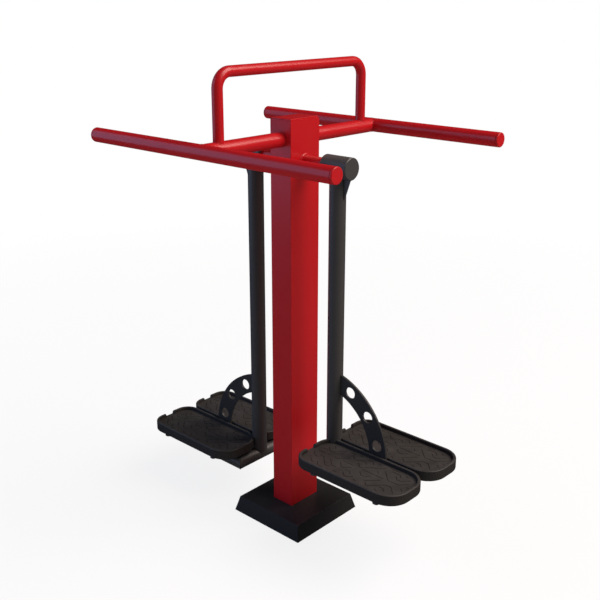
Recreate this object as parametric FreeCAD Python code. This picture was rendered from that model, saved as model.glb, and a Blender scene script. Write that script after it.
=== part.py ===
import FreeCAD, Part
import math
import os

from FreeCAD import Vector

# Outdoor double pendulum trainer: one post carries two independent swinging
# stations, two long handle bars and a front hoop.
# X runs along the handle bars and the foot plates, Y along the cross tube, Z up.
# The origin is the middle of the base plate's underside, on the ground.
# All sizes are millimetres.

# Post, its cap and its foot
POST_X = 80.0
POST_Y = 120.0
POST_WALL = 4.0
POST_CORNER_R = 1.5
POST_ABOVE_BAR = 54.5
CAP_THICK = 4.5
CAP_INSET = 3.0
CAP_CORNER_R = 1.2
CAP_BEVEL = 0.9
CAP_SPIGOT = 18.0
CAP_SPIGOT_WALL = 3.0
CAP_FIT = 0.3
BASE_SIDE = 240.0
BASE_THICK = 12.0
BASE_CORNER_R = 15.0
ANCHOR_PITCH = 190.0
ANCHOR_HOLE_D = 18.0
BASE_RIB_REACH = 48.0
BASE_RIB_HIGH = 30.0
BASE_RIB_THICK = 6.0
COVER_BOTTOM = 279.0
COVER_SHOULDER = 254.0
COVER_SHOULDER_Z = 49.0
COVER_HIGH = 52.3
COVER_COLLAR = 6.0
COVER_WALL = 3.5
COVER_ROUND = 1.0
COVER_FIT = 0.4

# Handle bars, cross tube and hoop
BAR_D = 42.4
BAR_WALL = 3.0
BAR_HALF = 459.0
BAR_Y = 353.7
BAR_ABOVE_AXLE = 65.5
CROSS_D = 42.4
CROSS_HOLE_FIT = 0.3
PLUG_FLANGE = 6.0
PLUG_GROOVE = 1.5
PLUG_ROUND = 2.8
PLUG_SPIGOT = 22.0
PLUG_FIT = 0.2
HOOP_D = 30.0
HOOP_WALL = 2.5
HOOP_Y = 293.7
HOOP_ABOVE_CAP = 124.5
HOOP_BEND_R = 43.0

# Axle through the post and what it carries
AXLE_Z = 1147.0
AXLE_D = 40.0
JOURNAL_D = 25.0
THREAD_D = 20.0
THREAD_END_CHAMFER = 1.5
ROOT_RING_D = 48.0
ROOT_RING_WIDE = 4.0
ROOT_RING_BEVEL = 1.2
BEARING_D = 52.0
BEARING_WIDE = 15.0
INNER_LAND_D = 32.8
OUTER_LAND_D = 44.4
BALL_D = 7.94
BALL_COUNT = 9
BALL_CLEAR = 0.3
BALL_SEAT = 0.02
COLLAR_WIDE = 3.0
COLLAR_D = 31.0
BEARING_APART = 30.0
WASHER_D = 37.0
WASHER_THICK = 3.0
NUT_ACROSS = 30.0
NUT_HIGH = 10.0
THREAD_PROUD = 2.0
NUT_FIT = 0.05

# Bearing housing
HOUSING_D = 63.5
HOUSING_START = 120.0
HOUSING_END = 208.0
SEAL_WIDE = 7.0
SEAL_MOUTH = 1.0
SEAL_LIP_FIT = 0.3
SHOULDER_D = 40.0
CIRCLIP_WIDE = 2.0
CIRCLIP_GROOVE_D = 55.0
CIRCLIP_BORE_D = 46.5
CIRCLIP_GAP = 10.0
CLIP_FIT = 0.1
END_CAP_THICK = 5.0
END_CAP_BEVEL = 2.2
END_CAP_SPIGOT = 7.0
END_CAP_SPIGOT_WALL = 3.5
END_CAP_FIT = 0.05

# Swing limit inside the housing
SWING_LIMIT = 35.0
STOP_PIN_D = 8.0
STOP_PIN_REACH = 25.0
STOP_PIN_DEPTH = 8.0
STOP_CLEAR = 0.6
STOP_SPARE_DEG = 0.5

# Pendulum leg, rib and curved gusset
LEG_X = 162.3
LEG_D = 48.3
LEG_WALL = 3.2
LEG_COPE = 11.5
RIB_REACH = 21.0
RIB_DROP = 58.0
RIB_THICK = 5.0
GUSSET_OUT_R = 235.3
GUSSET_WIDE = 60.6
GUSSET_INSET = 36.3
GUSSET_DROP = 15.5
GUSSET_THICK = 6.0
GUSSET_HOLE_D = 35.0
GUSSET_HOLE_FIRST = 12.3
GUSSET_HOLE_STEP = 24.7
GUSSET_HOLES = 3
SEAT_THICK = 6.0
SEAT_MARGIN = 4.0

# Foot plates: their tops stand at two heights, one for each station
PLATE_TOP_RIGHT = 318.5
PLATE_TOP_LEFT = 209.0
PLATE_LONG = 372.0
PLATE_WIDE = 168.0
PLATE_HIGH = 33.0
PLATE_OVERLAP = 16.3
PLATE_HALF_GAP = 4.5
PLATE_NOTCH_END_R = 48.0
PLATE_ROUND_END_R = 66.0
PLATE_TOP_ROUND = 3.5
PLATE_FOOT_ROUND = 5.0
RIM_WIDE = 9.0
RIM_INNER_ROUND = 1.5
TRAY_DEEP = 11.0
TRAY_FLOOR = 5.0
SKIRT_WALL = 8.0
NOTCH_WIDE = 32.0
NOTCH_FLARE = 3.0
NOTCH_OFF_MIDDLE = -6.5
LEG_RELIEF = 1.0
WEB_THICK = 3.0
BOSS_D = 22.0
INSERT_D = 12.0
INSERT_LONG = 13.0
BOLT_D = 8.0
BOLT_HEAD_ACROSS = 13.0
BOLT_HEAD_HIGH = 5.5
BOLT_FLANGE_D = 17.0
BOLT_FLANGE_THICK = 1.5
BOLT_REACH = 11.0
BOLT_FIT = 0.3
THREAD_FIT = 0.05

# Tubular carrier under the plates
RAIL_D = 42.4
RAIL_WALL = 2.6
RAIL_OFF_MIDDLE = 1.7
RAIL_SETBACK = 60.0
RAIL_SLANT_DEG = 45.0
RAIL_PLUG_LONG = 8.0
STRAP_WIDE = 20.0
STRAP_THICK = 5.0
STRAP_PLATE_INSET = 2.5
STRAP_FROM_NOTCH_END = 77.0
STRAP_FROM_ROUND_END = 68.0
PAD_HIGH = 4.6
PAD_WIDE = 24.0
BOLT_INSET = 42.0

# Directions and derived places
AX = Vector(1, 0, 0)
AY = Vector(0, 1, 0)
AZ = Vector(0, 0, 1)
FAR = 3000.0
BAR_Z = AXLE_Z + BAR_ABOVE_AXLE
POST_TOP = BAR_Z + POST_ABOVE_BAR
HOOP_TOP = POST_TOP + CAP_THICK + HOOP_ABOVE_CAP + HOOP_D / 2
PLATE_START = LEG_X - PLATE_OVERLAP
RAIL_Y = PLATE_HALF_GAP + PLATE_WIDE / 2 + RAIL_OFF_MIDDLE
RAIL_END = PLATE_START + PLATE_LONG - RAIL_SETBACK
SEAL_START = HOUSING_START + SEAL_MOUTH
AXLE_SHOULDER = SEAL_START + SEAL_WIDE
BEARING_1 = AXLE_SHOULDER + COLLAR_WIDE
BEARING_2 = BEARING_1 + BEARING_WIDE + BEARING_APART
BEARING_STARTS = (BEARING_1, BEARING_2)
JOURNAL_END = BEARING_2 + BEARING_WIDE
NUT_START = JOURNAL_END + WASHER_THICK
THREAD_END = NUT_START + NUT_HIGH + THREAD_PROUD
STOP_X = BEARING_1 + BEARING_WIDE + BEARING_APART / 2
BAR_TUBE_END = BAR_HALF - PLUG_FLANGE - PLUG_GROOVE
LEG_R = LEG_D / 2
GUSSET_X = LEG_X - GUSSET_INSET
GUSSET_IN_R = GUSSET_OUT_R - GUSSET_WIDE
STRAP_OFFSETS = (STRAP_FROM_NOTCH_END, PLATE_LONG - STRAP_FROM_ROUND_END)
STATIONS = (("right", 1, PLATE_TOP_RIGHT), ("left", -1, PLATE_TOP_LEFT))


def cylinder(radius, start, end, axis, at=Vector(0, 0, 0)):
    """Solid cylinder from start to end along the axis, its axis through the point at."""
    return Part.makeCylinder(radius, end - start, at + axis * start, axis)


def tube(outer_d, inner_d, start, end, axis, at=Vector(0, 0, 0)):
    outer = cylinder(outer_d / 2, start, end, axis, at)
    return outer.cut(cylinder(inner_d / 2, start, end, axis, at))


def box(x0, x1, y0, y1, z0, z1):
    return Part.makeBox(x1 - x0, y1 - y0, z1 - z0, Vector(x0, y0, z0))


def outline(x0, x1, y0, y1, z, radii):
    """Rounded rectangle wire; radii run from the corner (x0, y0) the way round."""
    corners = ((x0, y0, 1, 1), (x1, y0, -1, 1), (x1, y1, -1, -1), (x0, y1, 1, -1))
    turn = ((0, 1), (1, 0), (0, 1), (1, 0))
    slope = math.sqrt(0.5)
    ends = []
    arcs = []
    for (cx, cy, sx, sy), (first_x, first_y), r in zip(corners, turn, radii):
        along_x = Vector(cx + sx * r, cy, z)
        along_y = Vector(cx, cy + sy * r, z)
        centre = Vector(cx + sx * r, cy + sy * r, z)
        middle = centre + Vector(-sx * r * slope, -sy * r * slope, 0)
        first, last = (along_y, along_x) if first_y else (along_x, along_y)
        ends.append((first, last))
        arcs.append(Part.Arc(first, middle, last).toShape())
    edges = []
    for i, arc in enumerate(arcs):
        edges.append(arc)
        edges.append(Part.LineSegment(ends[i][1], ends[(i + 1) % 4][0]).toShape())
    return Part.Wire(edges)


def rounded_prism(x0, x1, y0, y1, z0, z1, radii):
    return Part.Face(outline(x0, x1, y0, y1, z0, radii)).extrude(Vector(0, 0, z1 - z0))


def frustum(bottom, top, z0, z1):
    """Pyramid frustum between two rectangles, each given as its half sizes in X and Y."""
    wires = []
    for (hx, hy), z in ((bottom, z0), (top, z1)):
        points = [Vector(-hx, -hy, z), Vector(hx, -hy, z), Vector(hx, hy, z), Vector(-hx, hy, z),
                  Vector(-hx, -hy, z)]
        wires.append(Part.makePolygon(points))
    return Part.makeLoft(wires, True, True)


def hexagon(across, high, x, y, z, axis):
    """Hexagonal prism standing on the point (x, y, z) along the axis."""
    corner = across / math.sqrt(3)
    points = []
    for i in range(7):
        angle = math.radians(60 * i)
        a = corner * math.cos(angle)
        b = corner * math.sin(angle)
        if axis == AX:
            points.append(Vector(x, y + a, z + b))
        else:
            points.append(Vector(x + a, y + b, z))
    return Part.Face(Part.makePolygon(points)).extrude(axis * high)


def level_edges(shape, z):
    return [e for e in shape.Edges if abs(e.BoundBox.ZMin - z) < 0.01 and abs(e.BoundBox.ZMax - z) < 0.01]


def end_edges(shape, x):
    return [e for e in shape.Edges if abs(e.BoundBox.XMin - x) < 0.01 and abs(e.BoundBox.XMax - x) < 0.01]


def mirrored(shape, side):
    """The right station's shape as it is, or its mirror image for the left one."""
    if side > 0:
        return shape
    return shape.mirror(Vector(0, 0, 0), AX)


def save(name, shapes):
    solids = []
    for shape in shapes:
        solids += shape.Solids
    body = solids[0] if len(solids) == 1 else Part.makeCompound(solids)
    body.exportStep(os.path.join("parts", name + ".step"))
    print(name, len(solids), round(sum(s.Volume for s in solids) / 1000.0, 2), all(s.isValid() for s in solids))


# Post and foot

def post():
    hx, hy = POST_X / 2, POST_Y / 2
    inner_r = max(POST_CORNER_R - POST_WALL, 0.8)
    shell = rounded_prism(-hx, hx, -hy, hy, BASE_THICK, POST_TOP, [POST_CORNER_R] * 4)
    hollow = rounded_prism(-hx + POST_WALL, hx - POST_WALL, -hy + POST_WALL, hy - POST_WALL,
                           BASE_THICK, POST_TOP, [inner_r] * 4)
    cross_hole = cylinder(CROSS_D / 2 + CROSS_HOLE_FIT, -POST_Y, POST_Y, AY, Vector(0, 0, BAR_Z))
    axle_hole = cylinder(AXLE_D / 2, -POST_X, POST_X, AX, Vector(0, 0, AXLE_Z))
    return shell.cut(hollow).cut(cross_hole).cut(axle_hole)


def post_cap():
    hx, hy = POST_X / 2 - CAP_INSET, POST_Y / 2 - CAP_INSET
    top = POST_TOP + CAP_THICK
    plate = rounded_prism(-hx, hx, -hy, hy, POST_TOP, top, [CAP_CORNER_R] * 4)
    bevel = min(CAP_BEVEL, CAP_THICK * 0.6, CAP_CORNER_R * 0.8)
    plate = plate.makeChamfer(bevel, level_edges(plate, top))
    inside = POST_WALL + CAP_FIT
    sx, sy = POST_X / 2 - inside, POST_Y / 2 - inside
    bottom = POST_TOP - CAP_SPIGOT
    spigot = rounded_prism(-sx, sx, -sy, sy, bottom, POST_TOP, [CAP_CORNER_R] * 4)
    wall = CAP_SPIGOT_WALL
    pocket = box(-sx + wall, sx - wall, -sy + wall, sy - wall, bottom, POST_TOP)
    return plate.fuse(spigot.cut(pocket)).removeSplitter()


def base_plate():
    half = BASE_SIDE / 2
    plate = rounded_prism(-half, half, -half, half, 0, BASE_THICK, [BASE_CORNER_R] * 4)
    for sx in (-1, 1):
        for sy in (-1, 1):
            at = Vector(sx * ANCHOR_PITCH / 2, sy * ANCHOR_PITCH / 2, 0)
            plate = plate.cut(cylinder(ANCHOR_HOLE_D / 2, -1, BASE_THICK + 1, AZ, at))
    return plate


def base_ribs():
    """Four triangular stiffeners, one against the middle of each face of the post."""
    ribs = []
    for turn, start in ((0, POST_X / 2), (90, POST_Y / 2), (180, POST_X / 2), (270, POST_Y / 2)):
        t = BASE_RIB_THICK / 2
        points = [Vector(start, -t, BASE_THICK), Vector(start + BASE_RIB_REACH, -t, BASE_THICK),
                  Vector(start, -t, BASE_THICK + BASE_RIB_HIGH), Vector(start, -t, BASE_THICK)]
        rib = Part.Face(Part.makePolygon(points)).extrude(AY * BASE_RIB_THICK)
        rib.rotate(Vector(0, 0, 0), AZ, turn)
        ribs.append(rib)
    return ribs


def cover_shell(inset):
    """Square pyramid with steep sides and a top that rises slightly to the post."""
    foot = COVER_BOTTOM / 2 - inset
    shoulder = COVER_SHOULDER / 2 - inset
    shoulder_z = COVER_SHOULDER_Z - inset
    collar = (POST_X / 2 + COVER_COLLAR - inset, POST_Y / 2 + COVER_COLLAR - inset)
    sides = frustum((foot, foot), (shoulder, shoulder), 0, shoulder_z)
    slanted = [e for e in sides.Edges if e.BoundBox.ZLength > shoulder_z / 2]
    sides = sides.makeFillet(COVER_ROUND, slanted + level_edges(sides, shoulder_z))
    edge = shoulder - COVER_ROUND
    top = frustum((edge, edge), collar, shoulder_z, COVER_HIGH - inset)
    return sides.fuse(top)


def base_cover():
    hx, hy = POST_X / 2 + COVER_FIT, POST_Y / 2 + COVER_FIT
    hole = rounded_prism(-hx, hx, -hy, hy, 0, COVER_HIGH + 1, [POST_CORNER_R] * 4)
    return cover_shell(0).cut(cover_shell(COVER_WALL)).cut(hole)


# Handle bars, cross tube and hoop

def bar_axis(side):
    return Vector(0, side * BAR_Y, BAR_Z)


def cross_tube():
    body = tube(CROSS_D, CROSS_D - 2 * BAR_WALL, -BAR_Y, BAR_Y, AY, Vector(0, 0, BAR_Z))
    for side in (-1, 1):
        body = body.cut(cylinder(BAR_D / 2, -BAR_HALF, BAR_HALF, AX, bar_axis(side)))
    return body


def handle_bar(side):
    return tube(BAR_D, BAR_D - 2 * BAR_WALL, -BAR_TUBE_END, BAR_TUBE_END, AX, bar_axis(side))


def bar_plug(side, end):
    """Push-in plug: a full-width flange, a narrow neck that shows as a groove, a spigot."""
    at = bar_axis(side)
    flange = cylinder(BAR_D / 2, BAR_TUBE_END + PLUG_GROOVE, BAR_HALF, AX, at)
    flange = flange.makeFillet(PLUG_ROUND, end_edges(flange, BAR_HALF))
    neck = cylinder(BAR_D / 2 - PLUG_GROOVE, BAR_TUBE_END, BAR_TUBE_END + PLUG_GROOVE, AX, at)
    spigot_r = BAR_D / 2 - BAR_WALL - PLUG_FIT
    spigot = cylinder(spigot_r, BAR_TUBE_END - PLUG_SPIGOT, BAR_TUBE_END, AX, at)
    return mirrored(flange.fuse(neck).fuse(spigot).removeSplitter(), end)


def hoop():
    r = HOOP_BEND_R
    slope = math.sqrt(0.5)
    points = {}
    for side in (-1, 1):
        centre = Vector(0, side * (HOOP_Y - r), HOOP_TOP - r)
        points[side] = (Vector(0, side * HOOP_Y, BAR_Z), Vector(0, side * HOOP_Y, HOOP_TOP - r),
                        centre + Vector(0, side * r * slope, r * slope),
                        Vector(0, side * (HOOP_Y - r), HOOP_TOP))
    foot, low, middle, high = points[-1]
    foot2, low2, middle2, high2 = points[1]
    path = Part.Wire([Part.LineSegment(foot, low).toShape(), Part.Arc(low, middle, high).toShape(),
                      Part.LineSegment(high, high2).toShape(), Part.Arc(high2, middle2, low2).toShape(),
                      Part.LineSegment(low2, foot2).toShape()])
    pipes = []
    for radius in (HOOP_D / 2, HOOP_D / 2 - HOOP_WALL):
        profile = Part.Wire(Part.Circle(foot, AZ, radius).toShape())
        pipes.append(path.makePipeShell([profile], True, False))
    body = pipes[0].cut(pipes[1])
    return body.cut(cylinder(CROSS_D / 2, -BAR_Y, BAR_Y, AY, Vector(0, 0, BAR_Z)))


# Axle and bearings

AXLE_AT = Vector(0, 0, AXLE_Z)


def axle():
    """One bar through the post: thick middle, a journal and a thread at each end."""
    body = cylinder(AXLE_D / 2, -AXLE_SHOULDER, AXLE_SHOULDER, AX, AXLE_AT)
    body = body.fuse(cylinder(JOURNAL_D / 2, -JOURNAL_END, JOURNAL_END, AX, AXLE_AT))
    thread = cylinder(THREAD_D / 2, -THREAD_END, THREAD_END, AX, AXLE_AT)
    tips = end_edges(thread, -THREAD_END) + end_edges(thread, THREAD_END)
    body = body.fuse(thread.makeChamfer(THREAD_END_CHAMFER, tips)).removeSplitter()
    for side in (-1, 1):
        body = body.cut(stop_pin(side, 0))
    return body


def axle_root_ring(side):
    ring = tube(ROOT_RING_D, AXLE_D, POST_X / 2, POST_X / 2 + ROOT_RING_WIDE, AX, AXLE_AT)
    end = POST_X / 2 + ROOT_RING_WIDE
    rim = [e for e in end_edges(ring, end) if e.BoundBox.ZLength > AXLE_D + 1]
    return mirrored(ring.makeChamfer(ROOT_RING_BEVEL, rim), side)


def stop_pin(side, clear):
    """Radial pin in the top of the axle that limits the swing."""
    at = Vector(side * STOP_X, 0, AXLE_Z)
    low = JOURNAL_D / 2 - STOP_PIN_DEPTH
    return cylinder(STOP_PIN_D / 2 + clear, low, STOP_PIN_REACH - STOP_CLEAR, AZ, at)


def bearing_race(ring, start):
    """Groove that the balls run in, as a torus to cut away from a ring."""
    pitch = (INNER_LAND_D + OUTER_LAND_D) / 4
    spare = BALL_CLEAR if ring == "inner" else BALL_SEAT
    at = Vector(start + BEARING_WIDE / 2, 0, AXLE_Z)
    return Part.makeTorus(pitch, BALL_D / 2 + spare, at, AX)


def inner_ring(start):
    ring = tube(INNER_LAND_D, JOURNAL_D, start, start + BEARING_WIDE, AX, AXLE_AT)
    return ring.cut(bearing_race("inner", start))


def outer_ring(start):
    ring = tube(BEARING_D, OUTER_LAND_D, start, start + BEARING_WIDE, AX, AXLE_AT)
    return ring.cut(bearing_race("outer", start))


def balls(start):
    pitch = (INNER_LAND_D + OUTER_LAND_D) / 4
    made = []
    for i in range(BALL_COUNT):
        angle = 2 * math.pi * i / BALL_COUNT
        at = Vector(start + BEARING_WIDE / 2, pitch * math.cos(angle), AXLE_Z + pitch * math.sin(angle))
        made.append(Part.makeSphere(BALL_D / 2, at))
    return made


def inner_collar(side):
    return mirrored(tube(COLLAR_D, JOURNAL_D, AXLE_SHOULDER, BEARING_1, AX, AXLE_AT), side)


def inner_spacer(side):
    body = tube(COLLAR_D, JOURNAL_D, BEARING_1 + BEARING_WIDE, BEARING_2, AX, AXLE_AT)
    return mirrored(body, side).cut(stop_pin(side, 0))


def axle_washer(side):
    return mirrored(tube(WASHER_D, THREAD_D + 2 * NUT_FIT, JOURNAL_END, NUT_START, AX, AXLE_AT), side)


def axle_nut(side):
    body = hexagon(NUT_ACROSS, NUT_HIGH, NUT_START, 0, AXLE_Z, AX)
    body = body.cut(cylinder(THREAD_D / 2 + NUT_FIT, NUT_START, THREAD_END, AX, AXLE_AT))
    return mirrored(body, side)


# Bearing housing, its seal, clip and end cap

def stop_slot():
    """Sector that the stop pin sweeps, cut into the housing's inner wall."""
    pin_half = math.degrees(math.asin((STOP_PIN_D / 2 + STOP_CLEAR) / (SHOULDER_D / 2)))
    half = SWING_LIMIT + pin_half + STOP_SPARE_DEG
    wide = STOP_PIN_D / 2 + STOP_CLEAR
    sector = Part.makeCylinder(STOP_PIN_REACH + STOP_CLEAR, 2 * wide,
                               Vector(STOP_X - wide, 0, AXLE_Z), AX, 2 * half)
    # a cylinder along X starts its angle at -Z and turns towards +Y, so find the middle first
    middle = sector.CenterOfMass - Vector(STOP_X, 0, AXLE_Z)
    now = math.degrees(math.atan2(middle.z, middle.y))
    sector.rotate(AXLE_AT, AX, 90 - now)
    return sector


def housing(side):
    body = cylinder(HOUSING_D / 2, HOUSING_START, HOUSING_END, AX, AXLE_AT)
    rims = end_edges(body, HOUSING_START)
    body = body.makeChamfer(0.8, rims)
    shoulder_start = BEARING_1 + BEARING_WIDE
    body = body.cut(cylinder(BEARING_D / 2, HOUSING_START - 1, shoulder_start, AX, AXLE_AT))
    body = body.cut(cylinder(SHOULDER_D / 2, shoulder_start - 1, BEARING_2 + 1, AX, AXLE_AT))
    body = body.cut(cylinder(BEARING_D / 2, BEARING_2, HOUSING_END + 1, AX, AXLE_AT))
    groove_end = JOURNAL_END + CIRCLIP_WIDE + CLIP_FIT
    body = body.cut(cylinder(CIRCLIP_GROOVE_D / 2, JOURNAL_END, groove_end, AX, AXLE_AT))
    return mirrored(body.cut(stop_slot()), side)


def dust_seal(side):
    bore = AXLE_D + 2 * SEAL_LIP_FIT
    return mirrored(tube(BEARING_D, bore, SEAL_START, SEAL_START + SEAL_WIDE, AX, AXLE_AT), side)


def circlip(side):
    end = JOURNAL_END + CIRCLIP_WIDE
    ring = tube(CIRCLIP_GROOVE_D - 2 * CLIP_FIT, CIRCLIP_BORE_D, JOURNAL_END, end, AX, AXLE_AT)
    gap = box(JOURNAL_END - 1, end + 1, -CIRCLIP_GAP / 2, CIRCLIP_GAP / 2,
              AXLE_Z - CIRCLIP_GROOVE_D, AXLE_Z)
    return mirrored(ring.cut(gap), side)


def end_cap(side):
    end = HOUSING_END + END_CAP_THICK
    flange = cylinder(HOUSING_D / 2, HOUSING_END, end, AX, AXLE_AT)
    flange = flange.makeChamfer(END_CAP_BEVEL, end_edges(flange, end))
    spigot_r = BEARING_D / 2 - END_CAP_FIT
    spigot = tube(2 * spigot_r, 2 * (spigot_r - END_CAP_SPIGOT_WALL), HOUSING_END - END_CAP_SPIGOT,
                  HOUSING_END, AX, AXLE_AT)
    return mirrored(flange.fuse(spigot).removeSplitter(), side)


# Leg, rib and gusset

def carrier_z(plate_top):
    """Height of the carrier tubes' axis under a plate."""
    return plate_top - PLATE_HIGH - STRAP_THICK - PAD_HIGH - RAIL_D / 2


def leg_cylinder(spare=0.0):
    return cylinder(LEG_R + spare, 0, AXLE_Z, AZ, Vector(LEG_X, 0, 0))


def cross_member(z):
    return cylinder(RAIL_D / 2, -RAIL_Y, RAIL_Y, AY, Vector(LEG_X, 0, z))


def leg(side, plate_top):
    z = carrier_z(plate_top)
    bottom = z + RAIL_D / 2 - LEG_COPE
    body = tube(LEG_D, LEG_D - 2 * LEG_WALL, bottom, AXLE_Z, AZ, Vector(LEG_X, 0, 0))
    body = body.cut(cylinder(HOUSING_D / 2, HOUSING_START - 1, HOUSING_END, AX, AXLE_AT))
    return mirrored(body.cut(cross_member(z)), side)


def rib(side):
    """Small triangular web in the outer corner between the housing and the leg."""
    t = RIB_THICK / 2
    tip = AXLE_Z - HOUSING_D / 2 - RIB_DROP
    face_x = LEG_X + LEG_R
    points = [Vector(LEG_X, -t, AXLE_Z), Vector(face_x + RIB_REACH, -t, AXLE_Z),
              Vector(face_x + RIB_REACH, -t, AXLE_Z - HOUSING_D / 2), Vector(face_x, -t, tip),
              Vector(LEG_X, -t, tip), Vector(LEG_X, -t, AXLE_Z)]
    body = Part.Face(Part.makePolygon(points)).extrude(AY * RIB_THICK)
    body = body.cut(leg_cylinder())
    body = body.cut(cylinder(HOUSING_D / 2, 0, FAR, AX, AXLE_AT))
    return mirrored(body, side)


def gusset(side, plate_top):
    """Curved flat brace with three holes from the leg down between the foot plates."""
    cz = plate_top - GUSSET_DROP
    foot = carrier_z(plate_top) + RAIL_D / 2 + SEAT_THICK
    t = GUSSET_THICK / 2
    at = Vector(GUSSET_X, 0, cz)
    ring = tube(2 * GUSSET_OUT_R, 2 * GUSSET_IN_R, -t, t, AY, at)
    body = ring.common(box(LEG_X, GUSSET_X + GUSSET_OUT_R + 1, -t, t, cz, cz + GUSSET_OUT_R + 1))
    body = body.fuse(box(GUSSET_X + GUSSET_IN_R, GUSSET_X + GUSSET_OUT_R, -t, t, foot, cz))
    body = body.removeSplitter().cut(leg_cylinder())
    middle_r = (GUSSET_OUT_R + GUSSET_IN_R) / 2
    for i in range(GUSSET_HOLES):
        angle = math.radians(GUSSET_HOLE_FIRST + GUSSET_HOLE_STEP * i)
        hole_at = at + Vector(middle_r * math.cos(angle), 0, middle_r * math.sin(angle))
        body = body.cut(cylinder(GUSSET_HOLE_D / 2, -t - 1, t + 1, AY, hole_at))
    return mirrored(body, side)


def gusset_seat(side, plate_top):
    """Flat plate across the two rails that the gusset's foot stands on."""
    z = carrier_z(plate_top) + RAIL_D / 2
    reach = RAIL_Y + RAIL_D / 2
    body = box(GUSSET_X + GUSSET_IN_R - SEAT_MARGIN, GUSSET_X + GUSSET_OUT_R + SEAT_MARGIN,
               -reach, reach, z, z + SEAT_THICK)
    return mirrored(body, side)


# Tubular carrier

def mitre_block(keep_rail):
    """Block on one side of the 45 degree mitre at the corner (LEG_X, RAIL_Y)."""
    start = 0 if keep_rail else -FAR
    block = Part.makeBox(FAR, 2 * FAR, FAR, Vector(start, -FAR, -1))
    block.rotate(Vector(0, 0, 0), AZ, 45)
    block.translate(Vector(LEG_X, RAIL_Y, 0))
    return block


def slant_block(z):
    """Block that holds all of a rail inward of its slanted outer end, longest at the top."""
    block = Part.makeBox(FAR, 2 * FAR, 2 * FAR, Vector(-FAR, -FAR, -FAR))
    block.rotate(Vector(0, 0, 0), AY, RAIL_SLANT_DEG)
    block.translate(Vector(RAIL_END, 0, z + RAIL_D / 2))
    return block


def carrier_tube(side, plate_top):
    at = Vector(LEG_X, 0, carrier_z(plate_top))
    reach = RAIL_Y + RAIL_D
    body = tube(RAIL_D, RAIL_D - 2 * RAIL_WALL, -reach, reach, AY, at)
    block = mitre_block(False)
    for half in (block, block.mirror(Vector(0, 0, 0), AY)):
        body = body.common(half)
    return mirrored(body, side)


def carrier_rails(side, plate_top):
    z = carrier_z(plate_top)
    rails = []
    for row in (-1, 1):
        body = tube(RAIL_D, RAIL_D - 2 * RAIL_WALL, LEG_X - RAIL_D, RAIL_END, AX,
                    Vector(0, RAIL_Y, z))
        body = body.common(mitre_block(True)).common(slant_block(z))
        if row < 0:
            body = body.mirror(Vector(0, 0, 0), AY)
        rails.append(mirrored(body, side))
    return rails


def rail_plugs(side, plate_top):
    """Plugs that close the rails' slanted outer ends, flush with the cut."""
    z = carrier_z(plate_top)
    start = RAIL_END - RAIL_D - RAIL_PLUG_LONG
    plugs = []
    for row in (-1, 1):
        body = cylinder(RAIL_D / 2 - RAIL_WALL - PLUG_FIT, start, RAIL_END, AX, Vector(0, row * RAIL_Y, z))
        plugs.append(mirrored(body.common(slant_block(z)), side))
    return plugs


def plate_low_x(side):
    """X of the foot plate's notched end, which faces -X at both stations."""
    return PLATE_START if side > 0 else -PLATE_START - PLATE_LONG


def strap_places(side):
    return [plate_low_x(side) + offset for offset in STRAP_OFFSETS]


def straps(side, plate_top):
    """Two flat bars across the rails; the plates are bolted down on them."""
    top = plate_top - PLATE_HIGH
    reach = PLATE_HALF_GAP + PLATE_WIDE - STRAP_PLATE_INSET
    made = []
    for x in strap_places(side):
        half = STRAP_WIDE / 2
        body = rounded_prism(x - half, x + half, -reach, reach, top - STRAP_THICK, top, [half - 2] * 4)
        for y in bolt_rows():
            body = body.cut(cylinder(BOLT_D / 2 + BOLT_FIT, top - STRAP_THICK - 1, top + 1, AZ,
                                     Vector(x, y, 0)))
        made.append(body)
    return made


def strap_pads(side, plate_top):
    """Blocks welded between each rail and the straps above it, saddled onto the rail."""
    z = carrier_z(plate_top)
    top = plate_top - PLATE_HIGH - STRAP_THICK
    made = []
    for x in strap_places(side):
        for row in (-1, 1):
            y = row * RAIL_Y
            body = box(x - STRAP_WIDE / 2, x + STRAP_WIDE / 2, y - PAD_WIDE / 2, y + PAD_WIDE / 2, z, top)
            made.append(body.cut(cylinder(RAIL_D / 2, -FAR, FAR, AX, Vector(0, y, z))))
    return made


# Foot plates and their fasteners

def bolt_rows():
    """Y of the four bolt rows across both plates of a station."""
    middle = PLATE_HALF_GAP + PLATE_WIDE / 2
    return [row * (middle + step * BOLT_INSET) for row in (-1, 1) for step in (-1, 1)]


def inset_outline(x0, y0, inset, z0, z1):
    radii = [max(r - inset, 1.0) for r in (PLATE_NOTCH_END_R, PLATE_ROUND_END_R,
                                           PLATE_ROUND_END_R, PLATE_NOTCH_END_R)]
    return rounded_prism(x0 + inset, x0 + PLATE_LONG - inset, y0 + inset, y0 + PLATE_WIDE - inset,
                         z0, z1, radii)


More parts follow.
